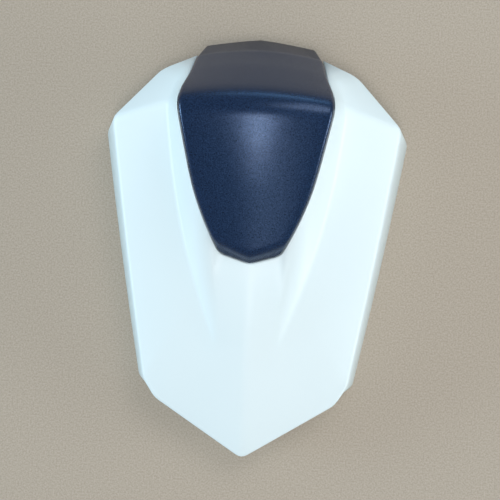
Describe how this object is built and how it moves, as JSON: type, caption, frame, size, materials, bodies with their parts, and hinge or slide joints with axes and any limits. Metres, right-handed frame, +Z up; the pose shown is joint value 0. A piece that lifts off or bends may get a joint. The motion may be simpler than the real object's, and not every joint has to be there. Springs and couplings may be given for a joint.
{
  "type": "seat_cowl",
  "caption": "Motorbike seat cowl: creased painted cover with pointed tail and raised hump, dark textured centre insert, moulded base with tongues, latch striker and rubber dampers",
  "frame": {"origin": "centre of the footprint, on the plane that the rim of the cover stands on", "axes": "X to the right of the rider, Y forwards towards the rider's seat, Z up"},
  "size_m": [0.2194, 0.2978, 0.0976],
  "materials": {
    "paint": "gloss paint",
    "textured_plastic": "fine texture",
    "black_plastic": "matte",
    "zinc": "zinc plated",
    "rubber": "matte"
  },
  "bodies": {
    "root": {"outer_shell": "paint", "centre_insert": "textured_plastic", "base_frame": "black_plastic", "latch_striker": "zinc", "striker_bolts": "zinc", "striker_nuts": "zinc", "base_screws": "zinc", "insert_screws": "zinc", "damper_front_right": "rubber", "damper_front_left": "rubber", "damper_rear_right": "rubber", "damper_rear_left": "rubber"}
  },
  "joints": []
}
